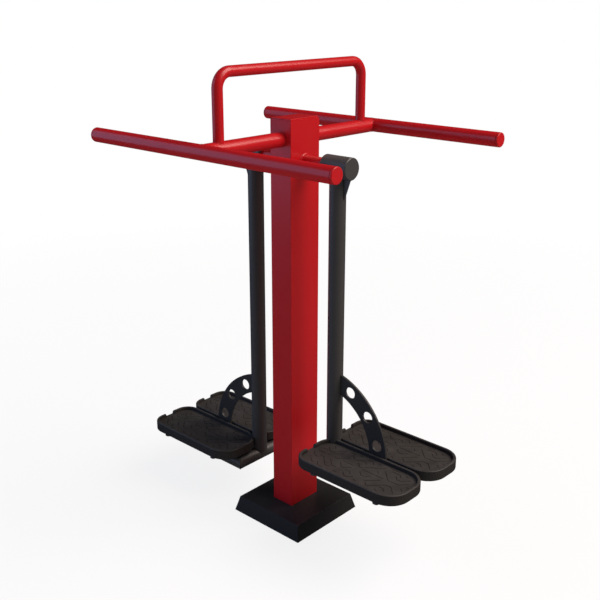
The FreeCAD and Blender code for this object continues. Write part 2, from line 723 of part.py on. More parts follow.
def foot_plate(side, row, plate_top):
    """Moulded tray: raised rim with a notch, floor, skirt, webs and four insert bosses."""
    x0 = plate_low_x(side)
    y0 = PLATE_HALF_GAP if row > 0 else -PLATE_HALF_GAP - PLATE_WIDE
    bottom = plate_top - PLATE_HIGH
    floor = plate_top - TRAY_DEEP
    under = floor - TRAY_FLOOR
    body = inset_outline(x0, y0, 0, bottom, plate_top)
    body = body.makeFillet(PLATE_TOP_ROUND, level_edges(body, plate_top))
    body = body.makeFillet(PLATE_FOOT_ROUND, level_edges(body, bottom))
    tray = inset_outline(x0, y0, RIM_WIDE, floor, plate_top + 1)
    body = body.cut(tray)
    rim = [e for e in level_edges(body, plate_top)
           if e.BoundBox.XMin > x0 + RIM_WIDE - 0.1 and e.BoundBox.YMin > y0 + RIM_WIDE - 0.1]
    body = body.makeFillet(RIM_INNER_ROUND, rim)
    hollow = inset_outline(x0, y0, SKIRT_WALL, bottom - 1, under)
    for web in plate_webs(x0, y0, bottom, under):
        hollow = hollow.cut(web)
    body = body.cut(hollow)
    for x, y in plate_bolts_of(side, row):
        body = body.cut(cylinder(INSERT_D / 2, bottom - 1, bottom + INSERT_LONG, AZ, Vector(x, y, 0)))
    notch = rim_notch(x0, y0 + PLATE_WIDE / 2 + NOTCH_OFF_MIDDLE, floor, plate_top + 1)
    return body.cut(notch).cut(mirrored(leg_cylinder(LEG_RELIEF), side))


def rim_notch(x0, middle, low, high):
    """Notch through the rim down to the tray's floor, a little wider at its top."""
    half = NOTCH_WIDE / 2
    wide = half + NOTCH_FLARE
    points = [Vector(x0 - 1, middle - half, low), Vector(x0 - 1, middle + half, low),
              Vector(x0 - 1, middle + wide, high), Vector(x0 - 1, middle - wide, high),
              Vector(x0 - 1, middle - half, low)]
    return Part.Face(Part.makePolygon(points)).extrude(AX * (RIM_WIDE + 2))


def plate_bolts_of(side, row):
    return [(x, y) for x in strap_places(side) for y in bolt_rows() if y * row > 0]


def plate_webs(x0, y0, bottom, under):
    """Webs and bosses that stay in the hollow under the tray's floor."""
    webs = []
    t = WEB_THICK / 2
    middle = y0 + PLATE_WIDE / 2
    for y in (middle - BOLT_INSET, middle + BOLT_INSET):
        webs.append(box(x0, x0 + PLATE_LONG, y - t, y + t, bottom + 2, under + 1))
        for offset in STRAP_OFFSETS:
            at = Vector(x0 + offset, y, 0)
            webs.append(cylinder(BOSS_D / 2, bottom, under + 1, AZ, at))
    for offset in STRAP_OFFSETS:
        x = x0 + offset
        webs.append(box(x - t, x + t, y0, y0 + PLATE_WIDE, bottom + 2, under + 1))
    return webs


def plate_inserts(side, plate_top):
    bottom = plate_top - PLATE_HIGH
    bore = BOLT_D + 2 * THREAD_FIT
    places = plate_bolts_of(side, -1) + plate_bolts_of(side, 1)
    return [tube(INSERT_D, bore, bottom, bottom + INSERT_LONG, AZ, Vector(x, y, 0)) for x, y in places]


def plate_bolts(side, plate_top):
    """Hexagon flange bolts, put in from below through the straps."""
    seat = plate_top - PLATE_HIGH - STRAP_THICK
    made = []
    for x, y in plate_bolts_of(side, -1) + plate_bolts_of(side, 1):
        at = Vector(x, y, 0)
        shank = cylinder(BOLT_D / 2, seat, seat + STRAP_THICK + BOLT_REACH, AZ, at)
        flange = cylinder(BOLT_FLANGE_D / 2, seat - BOLT_FLANGE_THICK, seat, AZ, at)
        head = hexagon(BOLT_HEAD_ACROSS, BOLT_HEAD_HIGH, x, y, seat - BOLT_FLANGE_THICK - BOLT_HEAD_HIGH, AZ)
        made.append(shank.fuse(flange).fuse(head).removeSplitter())
    return made


def save_frame():
    sides = (1, -1)
    save("post", [post()])
    save("post_cap", [post_cap()])
    save("base_plate", [base_plate()])
    save("base_ribs", base_ribs())
    save("base_cover", [base_cover()])
    save("cross_tube", [cross_tube()])
    save("handle_bar_front", [handle_bar(-1)])
    save("handle_bar_rear", [handle_bar(1)])
    save("bar_end_plugs", [bar_plug(side, end) for side in sides for end in sides])
    save("hoop", [hoop()])
    save("axle", [axle()])
    save("axle_root_rings", [axle_root_ring(side) for side in sides])
    rings = [mirrored(inner_ring(start), side) for side in sides for start in BEARING_STARTS]
    save("bearing_inner_rings", rings)
    save("axle_collars", [inner_collar(side) for side in sides])
    save("bearing_spacers", [inner_spacer(side) for side in sides])
    save("stop_pins", [stop_pin(side, 0) for side in sides])
    save("axle_washers", [axle_washer(side) for side in sides])
    save("axle_nuts", [axle_nut(side) for side in sides])


def save_station(name, side, top):
    save("leg_" + name, [leg(side, top)])
    save("bearing_housing_" + name, [housing(side)])
    save("housing_end_cap_" + name, [end_cap(side)])
    save("dust_seal_" + name, [dust_seal(side)])
    save("bearing_outer_rings_" + name, [mirrored(outer_ring(start), side) for start in BEARING_STARTS])
    save("bearing_balls_" + name, [mirrored(ball, side) for start in BEARING_STARTS for ball in balls(start)])
    save("circlip_" + name, [circlip(side)])
    save("housing_rib_" + name, [rib(side)])
    save("gusset_" + name, [gusset(side, top)])
    save("gusset_seat_" + name, [gusset_seat(side, top)])
    save("carrier_tube_" + name, [carrier_tube(side, top)])
    save("carrier_rails_" + name, carrier_rails(side, top))
    save("rail_plugs_" + name, rail_plugs(side, top))
    save("plate_straps_" + name, straps(side, top))
    save("strap_pads_" + name, strap_pads(side, top))
    save("foot_plate_front_" + name, [foot_plate(side, -1, top)])
    save("foot_plate_rear_" + name, [foot_plate(side, 1, top)])
    save("plate_inserts_" + name, plate_inserts(side, top))
    save("plate_bolts_" + name, plate_bolts(side, top))


os.makedirs("parts", exist_ok=True)
save_frame()
for station_name, station_side, station_top in STATIONS:
    save_station(station_name, station_side, station_top)
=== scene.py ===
import math

import bmesh
import bpy
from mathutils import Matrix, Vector


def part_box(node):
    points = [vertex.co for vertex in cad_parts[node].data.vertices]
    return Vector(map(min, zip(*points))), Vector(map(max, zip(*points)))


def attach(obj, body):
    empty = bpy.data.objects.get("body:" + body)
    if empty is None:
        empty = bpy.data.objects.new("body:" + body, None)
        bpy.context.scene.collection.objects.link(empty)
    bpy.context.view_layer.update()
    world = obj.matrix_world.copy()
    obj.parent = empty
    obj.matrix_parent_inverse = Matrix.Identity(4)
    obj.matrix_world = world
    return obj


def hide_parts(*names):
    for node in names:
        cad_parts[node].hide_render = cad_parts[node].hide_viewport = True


bl_info = {
    "name": "Double Pendulum Trainer",
    "version": (1, 0, 0),
    "blender": (4, 5, 0),
    "location": "3D View > Sidebar > Trainer",
    "description": "Dresses the outdoor double pendulum trainer and sets a studio view of it",
    "category": "Object",
}

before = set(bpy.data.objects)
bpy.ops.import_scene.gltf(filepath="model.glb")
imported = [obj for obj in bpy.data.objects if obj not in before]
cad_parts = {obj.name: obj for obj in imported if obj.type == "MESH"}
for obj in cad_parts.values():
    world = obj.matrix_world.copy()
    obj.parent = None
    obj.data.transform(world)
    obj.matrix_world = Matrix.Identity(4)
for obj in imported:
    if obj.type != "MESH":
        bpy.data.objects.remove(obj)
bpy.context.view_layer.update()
MM = 0.001

# Strength of the pale surroundings, and of the floor close by, in the mirror of a coat
MIRRORED_PALE = 0.02
MIRRORED_FLOOR = 0.05
# Distances from the post, in metres, over which the mirrored floor fades
MIRROR_NEAR, MIRROR_FAR = 0.8, 1.8
# Floor: half size, grey for bounced light and for the camera, and its own glow from near to far, in metres
FLOOR_HALF = 60.0
FLOOR_BOUNCE, FLOOR_SEEN = 0.66, 0.86
GLOW_FROM, GLOW_TO = 0.9, 4.0
GLOW_NEAR, GLOW_FAR = 0.84, 1.0
SKY_TINT = (0.97, 0.98, 1.0, 1.0)
WHITE = (1.0, 1.0, 1.0, 1.0)

# Lamps: azimuth and rise in degrees, distance and size in metres, colour
AIM_HEIGHT = 0.75
KEY_LAMP = (31.0, 49.0, 8.0, (5.8, 6.4), (1.0, 0.86, 0.79))
FILL_LAMP = (224.0, 17.4, 4.2, (4.4, 3.9), (0.42, 0.58, 1.0))

# Camera fitted to the photo's straight edges: place and view in metres, lens in millimetres
CAMERA_PLACE = (1.7362, -1.8647, 1.5998)
CAMERA_VIEW = (-0.6447, 0.6984, -0.3107)
CAMERA_LENS = 53.42
CAMERA_SHIFT = (0.0020, -0.0241)

# Pale colour for dust and a painted sheen, mixed into what faces up
DUST_AND_SHEEN_COLOUR = (0.32, 0.29, 0.26)
# Pale colour on mouldings for scuffs, and for dust with a painted sheen on what faces up
RUB_DUST_AND_SHEEN_COLOUR = (0.24, 0.22, 0.20)
# Share of the black coat on the gusset and its seat: darker as painted shade between the foot plates
FLAT_PAINTED_SHADE_TONE = 0.6
# Share of the plate's colour in its tread grooves: darker for dirt and painted shade in the recesses
GROOVE_DIRT_AND_SHADE_TONE = 0.35
SMOOTH_UP_TO = 32.0
BEAD_STEPS = 72
RIPPLE_STEP = 0.3

RED_NODES = ("post", "post_cap", "base_plate", "base_ribs", "cross_tube", "handle_bar_front",
             "handle_bar_rear", "hoop", "axle", "axle_root_rings")
BLACK_NODES = ("leg", "bearing_housing", "housing_end_cap", "housing_rib", "carrier_tube", "carrier_rails",
               "plate_straps", "strap_pads")
FLAT_NODES = ("gusset", "gusset_seat")
MOULDED_NODES = ("rail_plugs",)
RUBBER_NODES = ("dust_seal",)
STEEL_NODES = ("bearing_outer_rings", "bearing_balls")
STEEL_FRAME_NODES = ("bearing_inner_rings", "axle_collars", "bearing_spacers", "stop_pins")
ZINC_NODES = ("circlip", "plate_inserts", "plate_bolts")
ZINC_FRAME_NODES = ("axle_washers", "axle_nuts")
SIDES = (("right", 1), ("left", -1))
ROWS = ("front", "rear")

# Places of the welded joints, in millimetres, as the solids have them
BAR_Z = 1212.5
BAR_Y = 353.7
BAR_R = 21.2
HOOP_Y = 293.7
HOOP_R = 15.0
POST_FACE_X = 40.0
POST_FACE_Y = 60.0
AXLE_Z = 1147.0
ROOT_RING_R = 24.0
HOUSING_R = 31.75
LEG_X = 162.3
LEG_R = 24.15
RIB_HALF = 2.5
RIB_REACH = 21.0
RIB_DROP = 58.0
GUSSET_X = 126.0
GUSSET_HALF = 3.0
GUSSET_OUT_R = 235.3
GUSSET_IN_R = 174.7
GUSSET_BELOW_TOP = 15.5
CARRIER_BELOW_TOP = 63.8
SEAT_ABOVE_CARRIER = 27.2
RAIL_Y = 90.2
LEG_COPE = 11.5
TRAY_DEEP = 11.0

# Tread grooves of a foot plate: points in millimetres from its notched, front corner
TREAD_GROOVES = (
    ((16, 101), (28, 113), (42, 113)),
    ((24, 92), (50, 92)),
    ((61, 92), (96, 127)),
    ((36, 127), (52, 111), (62, 111), (93, 142)),
    ((46, 143), (58, 131)),
    ((84, 92), (99, 92), (125, 118)),
    ((104, 145), (118, 145), (124, 151)),
    ((122, 137), (137, 122), (149, 122), (160, 133)),
    ((136, 149), (150, 149)),
    ((160, 131), (172, 131), (183, 120)),
    ((20, 78), (36, 62), (46, 62)),
    ((24, 56), (50, 30), (60, 30)),
    ((58, 76), (95, 39), (105, 39), (111, 45)),
    ((46, 78), (54, 70)),
    ((78, 24), (96, 24), (104, 16)),
    ((66, 38), (78, 26)),
    ((84, 77), (110, 51), (126, 51)),
    ((119, 80), (136, 63), (147, 63), (162, 78)),
    ((120, 92), (160, 92)),
    ((131, 30), (145, 30)),
    ((118, 20), (142, 20)),
    ((155, 58), (171, 58), (182, 47)),
    ((160, 43), (173, 30), (184, 30), (197, 43)),
    ((160, 113), (176, 97), (185, 97), (209, 121), (218, 121), (240, 143)),
    ((172, 146), (190, 146)),
    ((191, 142), (201, 132)),
    ((204, 147), (220, 147)),
    ((205, 33), (217, 27)),
    ((186, 17), (204, 17)),
    ((191, 91), (266, 91)),
    ((230, 113), (240, 103)),
    ((194, 77), (207, 64), (221, 64), (234, 77)),
    ((233, 46), (267, 80)),
    ((240, 42), (250, 32), (257, 32), (294, 69), (310, 69), (333, 46)),
    ((226, 18), (252, 18)),
    ((246, 128), (282, 92), (318, 92), (339, 113)),
    ((262, 139), (290, 139), (302, 127)),
    ((286, 125), (299, 112), (311, 112), (332, 133)),
    ((254, 150), (282, 150)),
    ((280, 32), (294, 26)),
    ((284, 49), (298, 49), (309, 38)),
    ((306, 146), (318, 140)),
    ((336, 80), (346, 70)),
    ((340, 96), (351, 96)),
)


class CoatSettings(bpy.types.PropertyGroup):
    """Colours of the coats and moulded pieces."""
    red: bpy.props.FloatVectorProperty(name="Red", description="Colour of the fixed frame's coat",
                                       size=3, subtype="COLOR", min=0, max=1, default=(0.46, 0.0050, 0.0090))
    black: bpy.props.FloatVectorProperty(name="Black", description="Colour of the pendulums' coat",
                                         size=3, subtype="COLOR", min=0, max=1, default=(0.050, 0.050, 0.050))
    moulded: bpy.props.FloatVectorProperty(name="Moulded black", description="Colour of the foot plates",
                                           size=3, subtype="COLOR", min=0, max=1, default=(0.024, 0.0225, 0.0215))
    cover: bpy.props.FloatVectorProperty(name="Cover black", description="Colour of the cover round the foot",
                                         size=3, subtype="COLOR", min=0, max=1, default=(0.020, 0.020, 0.021))


class TreadSettings(bpy.types.PropertyGroup):
    """Grooves in the foot plates."""
    width: bpy.props.FloatProperty(name="Width", description="Width of a groove at the tray's floor",
                                   default=1.7 * MM, min=0.5 * MM, unit="LENGTH", precision=4)
    depth: bpy.props.FloatProperty(name="Depth", description="Depth of a groove below the tray's floor",
                                   default=1.1 * MM, min=0.2 * MM, unit="LENGTH", precision=4)
    bend: bpy.props.FloatProperty(name="Bend", description="Radius of a groove's bends",
                                  default=5.0 * MM, min=0.5 * MM, unit="LENGTH", precision=4)


class WeldSettings(bpy.types.PropertyGroup):
    """Weld beads of the tube joints."""
    radius: bpy.props.FloatProperty(name="Radius", description="Radius of a bead",
                                    default=1.1 * MM, min=0.5 * MM, unit="LENGTH", precision=4)
    pitch: bpy.props.FloatProperty(name="Pitch", description="Distance from one ripple to the next",
                                   default=2.4 * MM, min=1.0 * MM, unit="LENGTH", precision=4)
    ripple: bpy.props.FloatProperty(name="Ripple", description="Share of the radius by which a ripple swells",
                                    default=0.12, min=0.0, max=0.5, subtype="FACTOR")


class StudioSettings(bpy.types.PropertyGroup):
    """Lamps and even light."""
    key: bpy.props.FloatProperty(name="Key lamp", description="Power of the warm softbox high on the right",
                                 default=930.0, min=0.0)
    fill: bpy.props.FloatProperty(name="Fill lamp", description="Power of the cool softbox on the left",
                                  default=78.0, min=0.0)
    ambient: bpy.props.FloatProperty(name="Ambient", description="Strength of the even light from all round",
                                     default=0.17, min=0.0)


def add_node(tree, kind, values=None, **settings):
    """Node of the given kind, with its settings and the values of its inputs by name."""
    node = tree.nodes.new(kind)
    for name, value in settings.items():
        setattr(node, name, value)
    for name, value in (values or {}).items():
        node.inputs[name].default_value = value
    return node


def arithmetic(tree, operation, first, second):
    """Output of a Math node; each operand is a number or another node's output."""
    node = add_node(tree, "ShaderNodeMath", operation=operation)
    for socket, operand in zip(node.inputs, (first, second)):
        if isinstance(operand, (int, float)):
            socket.default_value = operand
        else:
            tree.links.new(operand, socket)
    return node.outputs[0]


def shader_group(name, inputs, outputs):
    """Empty shader group; its inputs are (name, default) and its outputs (name, socket type)."""
    tree = bpy.data.node_groups.new(name, "ShaderNodeTree")
    for label, default in inputs:
        kind = "NodeSocketFloat" if isinstance(default, float) else "NodeSocketColor"
        tree.interface.new_socket(name=label, in_out="INPUT", socket_type=kind).default_value = default
    for label, kind in outputs:
        tree.interface.new_socket(name=label, in_out="OUTPUT", socket_type=kind)
    return tree, add_node(tree, "NodeGroupInput"), add_node(tree, "NodeGroupOutput")


def noise(tree, size, detail, stretch=None):
    """Noise on Object coordinates; size is the output that gives its scale."""
    coords = add_node(tree, "ShaderNodeTexCoord").outputs["Object"]
    if stretch:
        mapping = add_node(tree, "ShaderNodeMapping", {"Scale": stretch})
        tree.links.new(coords, mapping.inputs["Vector"])
        coords = mapping.outputs[0]
    node = add_node(tree, "ShaderNodeTexNoise", {"Detail": detail, "Roughness": 0.55})
    tree.links.new(coords, node.inputs["Vector"])
    tree.links.new(size, node.inputs["Scale"])
    return node.outputs["Fac"]


def tone_group():
    """Slow drift of a colour over the surface."""
    tree, given, result = shader_group("tone_drift", [("Colour", (0.5, 0.5, 0.5, 1.0)), ("Drift", 0.08),
                                                      ("Scale", 6.0)], [("Colour", "NodeSocketColor")])
    wander = arithmetic(tree, "SUBTRACT", noise(tree, given.outputs["Scale"], 3.0), 0.5)
    share = arithmetic(tree, "MULTIPLY", wander, given.outputs["Drift"])
    factor = arithmetic(tree, "ADD", arithmetic(tree, "MULTIPLY", share, 2.0), 1.0)
    scale = add_node(tree, "ShaderNodeVectorMath", operation="SCALE")
    tree.links.new(given.outputs["Colour"], scale.inputs[0])
    tree.links.new(factor, scale.inputs["Scale"])
    tree.links.new(scale.outputs[0], result.inputs["Colour"])
    return tree


def dust_and_sheen_group():
    """Thin film of dust with a painted sheen that lies on what faces up, in soft patches; it turns those surfaces
    paler.
    """
    tree, given, result = shader_group("dust_film", [("Amount", 0.1), ("Scale", 14.0)],
                                       [("Mask", "NodeSocketFloat")])
    facing = add_node(tree, "ShaderNodeSeparateXYZ")
    tree.links.new(add_node(tree, "ShaderNodeTexCoord").outputs["Normal"], facing.inputs[0])
    up = add_node(tree, "ShaderNodeMapRange", {"From Min": 0.35, "From Max": 1.0}, clamp=True)
    tree.links.new(facing.outputs["Z"], up.inputs["Value"])
    patch = add_node(tree, "ShaderNodeMapRange", {"From Min": 0.15, "From Max": 0.9}, clamp=True)
    tree.links.new(noise(tree, given.outputs["Scale"], 6.0), patch.inputs["Value"])
    mask = arithmetic(tree, "MULTIPLY", up.outputs[0], patch.outputs[0])
    tree.links.new(arithmetic(tree, "MULTIPLY", mask, given.outputs["Amount"]), result.inputs["Mask"])
    return tree


def gloss_group():
    """Roughness that varies in soft patches and rises where the dust and painted sheen lie."""
    tree, given, result = shader_group("gloss_patches", [("Base", 0.4), ("Spread", 0.05), ("Scale", 30.0),
                                                         ("Dust", 0.0)], [("Roughness", "NodeSocketFloat")])
    wander = arithmetic(tree, "SUBTRACT", noise(tree, given.outputs["Scale"], 5.0), 0.5)
    share = arithmetic(tree, "MULTIPLY", arithmetic(tree, "MULTIPLY", wander, given.outputs["Spread"]), 2.0)
    rough = arithmetic(tree, "ADD", arithmetic(tree, "ADD", share, given.outputs["Base"]), given.outputs["Dust"])
    tree.links.new(rough, result.inputs["Roughness"])
    return tree


def peel_group():
    """Shallow orange peel of a sprayed and baked powder coat."""
    tree, given, result = shader_group("powder_peel", [("Scale", 420.0)], [("Height", "NodeSocketFloat")])
    fine = arithmetic(tree, "MULTIPLY", given.outputs["Scale"], 3.1)
    waves = arithmetic(tree, "MULTIPLY", noise(tree, given.outputs["Scale"], 1.0), 0.75)
    specks = arithmetic(tree, "MULTIPLY", noise(tree, fine, 1.0), 0.25)
    tree.links.new(arithmetic(tree, "ADD", waves, specks), result.inputs["Height"])
    return tree


def grain_group():
    """Fine pebbled grain of a moulded surface."""
    tree, given, result = shader_group("moulded_grain", [("Scale", 900.0)], [("Height", "NodeSocketFloat")])
    cells = add_node(tree, "ShaderNodeTexVoronoi", feature="SMOOTH_F1")
    cells.inputs["Smoothness"].default_value = 0.6
    tree.links.new(add_node(tree, "ShaderNodeTexCoord").outputs["Object"], cells.inputs["Vector"])
    tree.links.new(given.outputs["Scale"], cells.inputs["Scale"])
    coarse = arithmetic(tree, "MULTIPLY", given.outputs["Scale"], 0.3)
    pits = arithmetic(tree, "ADD", cells.outputs["Distance"], noise(tree, coarse, 2.0))
    tree.links.new(pits, result.inputs["Height"])
    return tree


def scuff_group():
    """Short fine scuffs along the foot plates and the machined faces."""
    tree, given, result = shader_group("fine_scuffs", [("Scale", 60.0), ("Amount", 0.3)],
                                       [("Mask", "NodeSocketFloat")])
    streaks = noise(tree, given.outputs["Scale"], 8.0, (1.0, 9.0, 9.0))
    sharp = add_node(tree, "ShaderNodeMapRange", {"From Min": 0.56, "From Max": 0.74}, clamp=True)
    tree.links.new(streaks, sharp.inputs["Value"])
    tree.links.new(arithmetic(tree, "MULTIPLY", sharp.outputs[0], given.outputs["Amount"]), result.inputs["Mask"])
    return tree


def finish_groups():
    """The shared groups, each built once."""
    makers = (tone_group, dust_and_sheen_group, gloss_group, peel_group, grain_group, scuff_group)
    names = ("tone_drift", "dust_film", "gloss_patches", "powder_peel", "moulded_grain", "fine_scuffs")
    return {name: bpy.data.node_groups.get(name) or make() for name, make in zip(names, makers)}


def group_node(tree, groups, name, values):
    """One shared group placed in a material with its own values."""
    node = add_node(tree, "ShaderNodeGroup", node_tree=groups[name])
    for label, value in values.items():
        node.inputs[label].default_value = value
    return node


def new_finish(name, metallic, specular):
    """Material with a Principled shader at the given metallic and specular levels."""
    material = bpy.data.materials.new(name)
    material.use_nodes = True
    shader = material.node_tree.nodes["Principled BSDF"]
    shader.inputs["Metallic"].default_value = metallic
    shader.inputs["Specular IOR Level"].default_value = specular
    return material, material.node_tree, shader


def mixed(tree, mask, colour_a, colour_b):
    """Colour A turned to the plain colour B by the mask."""
    node = add_node(tree, "ShaderNodeMix", data_type="RGBA")
    tree.links.new(mask, node.inputs[0])
    tree.links.new(colour_a, node.inputs[6])
    node.inputs[7].default_value = (*colour_b, 1.0)
    return node.outputs[2]


def bumped(tree, shader, height, strength, depth):
    """Bump from a height of the given depth in metres into the shader's normal."""
    bump = add_node(tree, "ShaderNodeBump", {"Strength": strength, "Distance": depth})
    tree.links.new(height, bump.inputs["Height"])
    tree.links.new(bump.outputs[0], shader.inputs["Normal"])


def powder_coat(groups, name, colour, rough, specular, drift, dust_and_sheen):
    """Sprayed powder coat: slow tone drift, gloss patches, orange peel, and a trace of dust with a painted sheen
    on what faces up.
    """
    material, tree, shader = new_finish(name, 0.0, specular)
    tone = group_node(tree, groups, "tone_drift", {"Colour": (*colour, 1.0), "Drift": drift, "Scale": 5.0})
    dust_sheen = group_node(tree, groups, "dust_film", {"Amount": dust_and_sheen, "Scale": 16.0})
    gloss = group_node(tree, groups, "gloss_patches", {"Base": rough, "Spread": 0.05, "Scale": 22.0})
    peel = group_node(tree, groups, "powder_peel", {"Scale": 420.0})
    # Dust and a painted sheen turn the up-facing surfaces paler
    dusted_and_sheened = mixed(tree, dust_sheen.outputs["Mask"], tone.outputs["Colour"], DUST_AND_SHEEN_COLOUR)
    tree.links.new(dusted_and_sheened, shader.inputs["Base Color"])
    tree.links.new(dust_sheen.outputs["Mask"], gloss.inputs["Dust"])
    tree.links.new(gloss.outputs["Roughness"], shader.inputs["Roughness"])
    bumped(tree, shader, peel.outputs["Height"], 0.06, 0.0002)
    return material


def moulding(groups, name, colour, rough, specular, dust_and_sheen, scuffs):
    """Moulded plastic or rubber: pebbled grain, dust with a painted sheen on what faces up, and scuffs, which
    show paler and duller.
    """
    material, tree, shader = new_finish(name, 0.0, specular)
    tone = group_node(tree, groups, "tone_drift", {"Colour": (*colour, 1.0), "Drift": 0.08, "Scale": 9.0})
    dust_sheen = group_node(tree, groups, "dust_film", {"Amount": dust_and_sheen, "Scale": 20.0})
    rubbed = group_node(tree, groups, "fine_scuffs", {"Scale": 34.0, "Amount": scuffs})
    faint = arithmetic(tree, "MULTIPLY", rubbed.outputs["Mask"], 0.12)
    both = arithmetic(tree, "MAXIMUM", dust_sheen.outputs["Mask"], faint)
    gloss = group_node(tree, groups, "gloss_patches", {"Base": rough, "Spread": 0.07, "Scale": 40.0})
    grain = group_node(tree, groups, "moulded_grain", {"Scale": 850.0})
    # Scuffs, and dust with a painted sheen on what faces up, turn the moulding paler
    tree.links.new(mixed(tree, both, tone.outputs["Colour"], RUB_DUST_AND_SHEEN_COLOUR), shader.inputs["Base Color"])
    tree.links.new(both, gloss.inputs["Dust"])
    tree.links.new(gloss.outputs["Roughness"], shader.inputs["Roughness"])
    bumped(tree, shader, grain.outputs["Height"], 0.16, 0.0003)
    return material


def bare_metal(groups, name, colour, rough, drift):
    """Ground or plated steel with fine lines from the tool."""
    material, tree, shader = new_finish(name, 1.0, 0.5)
    tone = group_node(tree, groups, "tone_drift", {"Colour": (*colour, 1.0), "Drift": drift, "Scale": 70.0})
    lines = group_node(tree, groups, "fine_scuffs", {"Scale": 160.0, "Amount": 0.18})
    gloss = group_node(tree, groups, "gloss_patches", {"Base": rough, "Spread": 0.08, "Scale": 90.0})
    tree.links.new(tone.outputs["Colour"], shader.inputs["Base Color"])
    tree.links.new(lines.outputs["Mask"], gloss.inputs["Dust"])
    tree.links.new(gloss.outputs["Roughness"], shader.inputs["Roughness"])
    bumped(tree, shader, lines.outputs["Mask"], 0.1, 0.0001)
    return material


def toned(colour, share):
    """The colour darkened to a share of its strength."""
    return [share * value for value in colour]


def coat_node(name, material):
    """Give one carried-over piece its finish."""
    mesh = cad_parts[name].data
    mesh.materials.clear()
    mesh.materials.append(material)


def coat_station(side, finishes):
    """Finish of every piece of one pendulum but its foot plates."""
    coats = (("black", BLACK_NODES), ("flat", FLAT_NODES), ("plate", MOULDED_NODES), ("steel", STEEL_NODES),
             ("zinc", ZINC_NODES), ("rubber", RUBBER_NODES))
    for finish, names in coats:
        for name in names:
            coat_node(name + "_" + side, finishes[finish])


class TRAINER_OT_coats(bpy.types.Operator):
    """Build the finishes and give one to every carried-over piece"""
    bl_idname = "trainer.coats"
    bl_label = "Coats"

    def execute(self, context):
        coat = context.scene.trainer_coat
        groups = finish_groups()
        finishes = {
            "red": powder_coat(groups, "red_powder_coat", coat.red,
                               rough=0.31, specular=0.42, drift=0.05, dust_and_sheen=0.01),
            "black": powder_coat(groups, "black_powder_coat", coat.black,
                                 rough=0.38, specular=0.4, drift=0.08, dust_and_sheen=0.15),
            # Gusset and seat in a darker black: painted shade where the foot plates hide them
            "flat": powder_coat(groups, "black_plate_coat", toned(coat.black, FLAT_PAINTED_SHADE_TONE),
                                rough=0.42, specular=0.3, drift=0.08, dust_and_sheen=0.1),
            "plug": moulding(groups, "red_plug_moulding", coat.red,
                             rough=0.36, specular=0.35, dust_and_sheen=0.02, scuffs=0.02),
            "plate": moulding(groups, "foot_plate_moulding", coat.moulded,
                              rough=0.48, specular=0.3, dust_and_sheen=0.135, scuffs=0.12),
            # Groove faces darker: dirt and painted shade in the recesses
            "groove": moulding(groups, "tread_groove_moulding", toned(coat.moulded, GROOVE_DIRT_AND_SHADE_TONE),
                               rough=0.75, specular=0.15, dust_and_sheen=0.06, scuffs=0.25),
            "cover": moulding(groups, "foot_cover_moulding", coat.cover,
                              rough=0.42, specular=0.2, dust_and_sheen=0.015, scuffs=0.06),
            "steel": bare_metal(groups, "ground_bearing_steel", (0.60, 0.60, 0.62), rough=0.24, drift=0.05),
            "zinc": bare_metal(groups, "zinc_plated_steel", (0.62, 0.63, 0.64), rough=0.36, drift=0.16),
            "rubber": moulding(groups, "seal_rubber", (0.020, 0.020, 0.021),
                               rough=0.7, specular=0.25, dust_and_sheen=0.05, scuffs=0.1),
        }
        coats = (("red", RED_NODES), ("plug", ("bar_end_plugs",)), ("cover", ("base_cover",)),
                 ("steel", STEEL_FRAME_NODES), ("zinc", ZINC_FRAME_NODES))
        for finish, names in coats:
            for name in names:
                coat_node(name, finishes[finish])
        for side, _ in SIDES:
            coat_station(side, finishes)
        return {"FINISHED"}


def geometry_tree(name, inputs):
    """Empty geometry tree with a Geometry input, named length or factor inputs and a Material."""
    tree = bpy.data.node_groups.new(name, "GeometryNodeTree")
    face = tree.interface
    face.new_socket(name="Geometry", in_out="INPUT", socket_type="NodeSocketGeometry")
    for label, default, subtype in inputs:
        socket = face.new_socket(name=label, in_out="INPUT", socket_type="NodeSocketFloat")
        socket.subtype = subtype
        socket.default_value = default
    face.new_socket(name="Material", in_out="INPUT", socket_type="NodeSocketMaterial")
    face.new_socket(name="Geometry", in_out="OUTPUT", socket_type="NodeSocketGeometry")
    return tree, add_node(tree, "NodeGroupInput"), add_node(tree, "NodeGroupOutput")


def end_tree(tree, given, result, made):
    """Realise what was made, give it the Material input and put it out."""
    real = add_node(tree, "GeometryNodeRealizeInstances")
    coat = add_node(tree, "GeometryNodeSetMaterial")
    tree.links.new(made, real.inputs["Geometry"])
    tree.links.new(real.outputs["Geometry"], coat.inputs["Geometry"])
    tree.links.new(given.outputs["Material"], coat.inputs["Material"])
    tree.links.new(coat.outputs["Geometry"], result.inputs["Geometry"])


